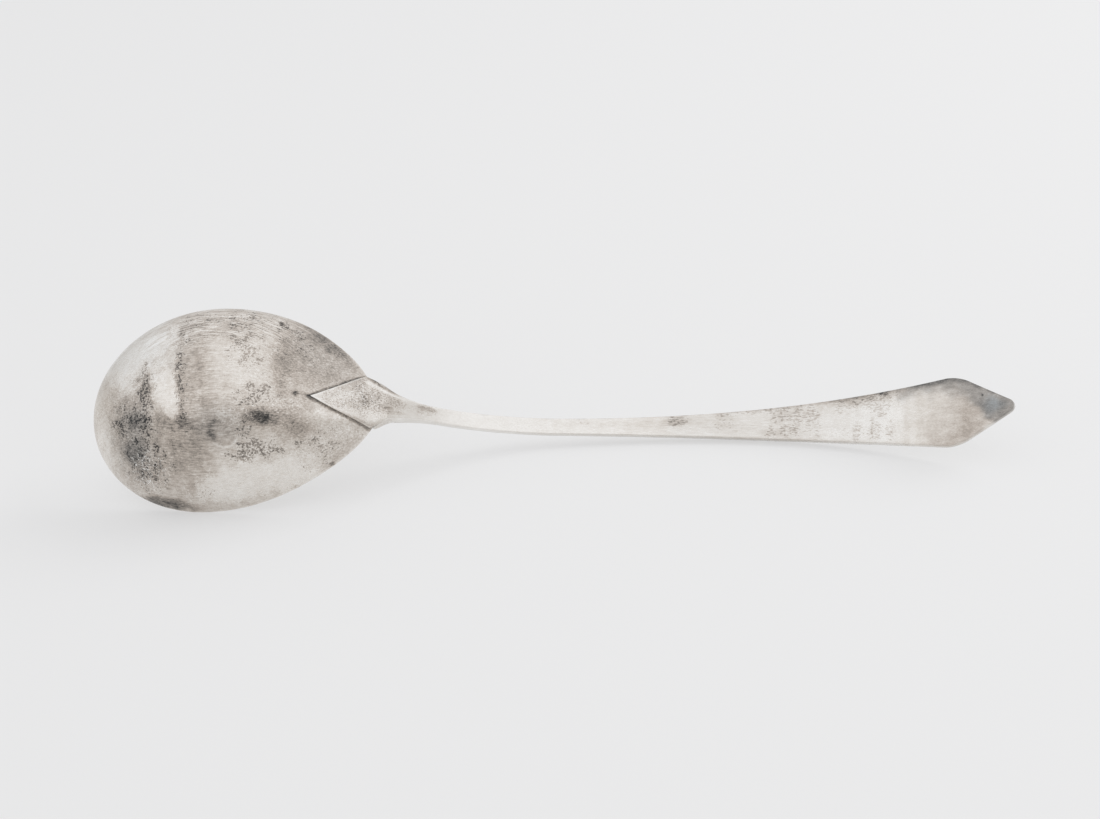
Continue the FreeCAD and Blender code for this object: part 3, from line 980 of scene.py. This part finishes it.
def patinaGroup():
    # silver's colour, gloss and fine relief from painted amounts and the place in millimetres
    tree = bpy.data.node_groups.new("patina", "ShaderNodeTree")
    sockets = [(name, "INPUT", "Float") for name in (*paintNames, "Dark")]
    sockets += [("Place", "INPUT", "Vector"), ("Ring", "INPUT", "Vector")]
    sockets += [(name, "OUTPUT", kind) for name, kind in (
        ("Color", "Color"), ("Roughness", "Float"), ("Height", "Float"),
    )]
    for name, side, kind in sockets:
        tree.interface.new_socket(name, in_out=side, socket_type="NodeSocket" + kind)
    given = tree.nodes.new("NodeGroupInput").outputs
    place, rings, tone = given["Place"], given["Rings"], patinaTone

    def plus(first, second):
        return calc(tree, "ADD", first, second)

    def less(first, second):
        return calc(tree, "SUBTRACT", first, second)

    def times(first, second):
        return calc(tree, "MULTIPLY", first, second)

    def laid(value, share, under):
        # a value times its share, added to what lies under it
        return calc(tree, "MULTIPLY_ADD", value, share, under)

    def passed(value, key):
        return step(tree, value, *tone[key])

    def swing(key, at, width):
        # a noise's value turned to about -1..1
        return times(less(noise(tree, at, *noises[key]), tone["middle"]), width)

    def offMiddle(key):
        # how far a noise is from its middle, so that a thin band shows where it crosses
        return calc(tree, "ABSOLUTE", less(noise(tree, place, *noises[key]), tone["middle"]))

    mottle, blotch, grain = [swing(key, place, tone["swing"]) for key in ("mottle", "blotch", "grain")]
    fine = noise(tree, place, *noises["fine"])
    along = add(tree, "ShaderNodeMapping", {"Vector": place, "Scale": tone["drawnOut"]}).outputs[0]
    straight = swing("straight", along, tone["lineSwing"])
    around = swing("around", given["Ring"], tone["lineSwing"])
    lines = laid(less(around, straight), rings, straight)
    # the worn places have a torn edge where paint and noise pass a height together
    torn = laid(less(fine, tone["middle"]), tone["tornFine"], times(blotch, tone["tornBlotch"]))
    torn = laid(lines, tone["tornLines"], torn)
    worn = passed(plus(given["Worn"], torn), "wornFrom")
    left = less(1.0, times(worn, tone["wornShare"]))
    amount = times(given["TarnishShading"], left)
    body = plus(amount, tone["leastBody"])
    amount = laid(mottle, times(body, tone["mottle"]), amount)
    amount = laid(blotch, times(body, tone["blotch"]), amount)
    amount = laid(grain, times(laid(body, *tone["grain"]), left), amount)
    brushed = times(lines, given["Streak"])
    strength = laid(rings, tone["rings"], laid(body, *tone["lines"]))
    amount = laid(brushed, strength, amount)
    # dark specks where the fine noise passes a height that falls as Speckle rises, with bright rims
    height = laid(given["Speckle"], tone["speckle"], less(fine, tone["speckle"]))
    height = laid(lines, tone["speckLines"], height)
    height = laid(blotch, tone["speckBlotch"], height)
    spots = passed(height, "spotsFrom")
    rims = less(passed(height, "rimsFrom"), passed(height, "rimsUntil"))
    amount = laid(spots, given["Dark"], amount)
    amount = laid(rims, tone["rims"], amount)
    # curly dark marks among the densest specks
    curl = less(1.0, passed(offMiddle("curl"), "curlUntil"))
    curl = times(curl, passed(given["Speckle"], "curlFrom"))
    amount = laid(curl, times(given["Dark"], tone["curl"]), amount)
    # wiry scratches: thin light bands where a coiling noise crosses its middle, shaded beside
    coil = offMiddle("coil")
    wire = less(1.0, passed(coil, "wireUntil"))
    shade = less(passed(coil, "shadeFrom"), passed(coil, "shadeUntil"))
    amount = laid(times(wire, given["Scratch"]), tone["wire"], amount)
    amount = laid(times(shade, given["Scratch"]), tone["shade"], amount)
    # painted shade in the seam beside the drop, wider on its far side,
    # and a brown band along its near side, tarnish with painted shade
    near = passed(add(tree, "ShaderNodeSeparateXYZ", {"Vector": place}).outputs["Y"], "nearFrom")
    ragged = laid(blotch, tone["seamBlotch"], given["Seam"])
    seamShade = less(1.0, passed(plus(near, ragged), "seamShadeUntil"))
    band = times(near, less(1.0, passed(ragged, "bandUntil")))
    amount = laid(seamShade, tone["seamShade"], amount)
    amount = laid(band, tone["band"], amount)
    colour = ramp(tree, amount, [
        (0, silver["clean"]), (0.25, silver["breath"]), (0.5, silver["warm"]),
        (0.75, silver["dull"]), (1, silver["black"]),
    ])
    cooled = mixColour(tree, 1.0, colour, silver["blue"], "MULTIPLY")
    add(tree, "NodeGroupOutput", {
        "Color": mixColour(tree, given["Cool"], colour, cooled),
        "Roughness": laid(amount, *tone["roughness"]),
        "Height": laid(spots, tone["spotRelief"], times(brushed, tone["lineRelief"])),
    })
    return tree


patina = patinaGroup()
relief = {"Strength": 0.25, "Distance": 0.00006}


def silverMaterial(name, scale, dark):
    # scale under 1 draws the wear out along that axis; dark is how black the specks are
    material = bpy.data.materials.new(name)
    material.use_nodes = True
    tree = material.node_tree
    shader = tree.nodes["Principled BSDF"]
    shader.inputs["Metallic"].default_value = 1
    place = add(tree, "ShaderNodeMapping", {
        "Vector": add(tree, "ShaderNodeTexCoord").outputs["Object"],
        "Rotation": Matrix(turned.tolist()).transposed().to_euler(),
        "Scale": [share / mm for share in scale],
    }).outputs[0]
    ring = add(tree, "ShaderNodeAttribute", attribute_name="ring").outputs["Vector"]
    feeds = {"Place": place, "Ring": ring, "Dark": dark}
    for key in paintNames:
        feeds[key] = add(tree, "ShaderNodeAttribute", attribute_name=key.lower()).outputs["Fac"]
    group = add(tree, "ShaderNodeGroup", feeds, node_tree=patina).outputs
    bump = add(tree, "ShaderNodeBump", {"Height": group["Height"], **relief})
    tree.links.new(group["Color"], shader.inputs["Base Color"])
    tree.links.new(group["Roughness"], shader.inputs["Roughness"])
    tree.links.new(bump.outputs["Normal"], shader.inputs["Normal"])
    return material


bowlPiece.data.materials.append(silverMaterial("bowl_silver", scale=(1, 1, 1), dark=0.40))
handlePiece.data.materials.append(silverMaterial("handle_silver", scale=(0.55, 2.1, 2.1), dark=0.28))
print("materials made")


# Floor, light and camera

studio = {
    "floorSize": 8.0,
    "floorColour": (0.835, 0.835, 0.84, 1),
    "floorRough": 0.9,
    "floorShine": 0.1,
    "worldColour": (1.0, 1.0, 1.0, 1),
    "floorGlow": 0.56,
    "worldLevel": 0.78,
    "seenHigh": (0.93, 0.93, 0.94, 1),
    "seenLow": (0.62, 0.60, 0.58, 1),
    "seenRise": (-0.05, 0.45),
    "lampAt": (1.20, 0.80, 1.05),
    "lampAim": (0, 0, 0),
    "lampSize": (1.2, 1.0),
    "lampPower": 11.0,
}


def raySeen(tree):
    # 1 for what the camera sees, straight on or in the metal, and 0 for light on its way
    path = add(tree, "ShaderNodeLightPath")
    mirrored = calc(tree, "MAXIMUM", path.outputs["Is Glossy Ray"], path.outputs["Is Transmission Ray"])
    return calc(tree, "MAXIMUM", path.outputs["Is Camera Ray"], mirrored)


span = studio["floorSize"] / 2
floorCorners = [(-span, -span, 0), (span, -span, 0), (span, span, 0), (-span, span, 0)]
floorMesh = bpy.data.meshes.new("floor")
floorMesh.from_pydata(floorCorners, [], [(0, 1, 2, 3)])
floor = bpy.data.objects.new("floor", floorMesh)
bpy.context.collection.objects.link(floor)
floorMaterial = bpy.data.materials.new("pale_floor")
floorMaterial.use_nodes = True
floorTree = floorMaterial.node_tree
floorShader = floorTree.nodes["Principled BSDF"]
floorShader.inputs["Base Color"].default_value = studio["floorColour"]
floorShader.inputs["Roughness"].default_value = studio["floorRough"]
floorShader.inputs["Specular IOR Level"].default_value = studio["floorShine"]
floorGlow = add(floorTree, "ShaderNodeEmission", {"Color": studio["floorColour"], "Strength": 1.0})
glowShare = calc(floorTree, "MULTIPLY", raySeen(floorTree), studio["floorGlow"])
mixed = add(floorTree, "ShaderNodeMixShader", {
    0: glowShare, 1: floorShader.outputs[0], 2: floorGlow.outputs[0],
})
floorTree.links.new(mixed.outputs[0], floorTree.nodes["Material Output"].inputs["Surface"])
floorMesh.materials.append(floorMaterial)

# The world lights evenly; seen by the camera or in the metal it is a pale room, dimmer low down
world = bpy.data.worlds.new("studio")
bpy.context.scene.world = world
world.use_nodes = True
worldTree = world.node_tree
even = worldTree.nodes["Background"]
even.inputs["Color"].default_value = studio["worldColour"]
even.inputs["Strength"].default_value = studio["worldLevel"]
direction = add(worldTree, "ShaderNodeTexCoord").outputs["Generated"]
upwards = add(worldTree, "ShaderNodeSeparateXYZ", {"Vector": direction}).outputs["Z"]
rise = step(worldTree, upwards, *studio["seenRise"])
seen = mixColour(worldTree, rise, studio["seenLow"], studio["seenHigh"])
room = add(worldTree, "ShaderNodeBackground", {"Color": seen, "Strength": 1})
mixed = add(worldTree, "ShaderNodeMixShader", {
    0: raySeen(worldTree), 1: even.outputs[0], 2: room.outputs[0],
})
worldTree.links.new(mixed.outputs[0], worldTree.nodes["World Output"].inputs["Surface"])

lamp = bpy.data.lights.new("overhead", "AREA")
lamp.shape = "RECTANGLE"
lamp.size, lamp.size_y = studio["lampSize"]
lamp.energy = studio["lampPower"]
overhead = bpy.data.objects.new("overhead", lamp)
overhead.location = studio["lampAt"]
beam = Vector(studio["lampAim"]) - Vector(studio["lampAt"])
overhead.rotation_euler = beam.to_track_quat("-Z", "Y").to_euler()
overhead.visible_glossy = False
bpy.context.collection.objects.link(overhead)

shot = {
    "from": (0.31941, -0.75063, 0.40140),
    "at": (-0.01021, 0.04653, 0.00341),
    "roll": -9.559,
    "lens": 84.03,
    "sensor": 36,
    "nearest": 0.05,
}

cameraData = bpy.data.cameras.new("shot")
cameraData.lens = shot["lens"]
cameraData.sensor_width = shot["sensor"]
cameraData.clip_start = shot["nearest"]
camera = bpy.data.objects.new("shot", cameraData)
look = (Vector(shot["at"]) - Vector(shot["from"])).to_track_quat("-Z", "Y").to_matrix()
spin = Matrix.Rotation(math.radians(shot["roll"]), 3, "Z")
camera.matrix_world = Matrix.Translation(shot["from"]) @ (look @ spin).to_4x4()
bpy.context.collection.objects.link(camera)
bpy.context.scene.camera = camera
bpy.context.scene.view_settings.view_transform = "Standard"
print("studio made")
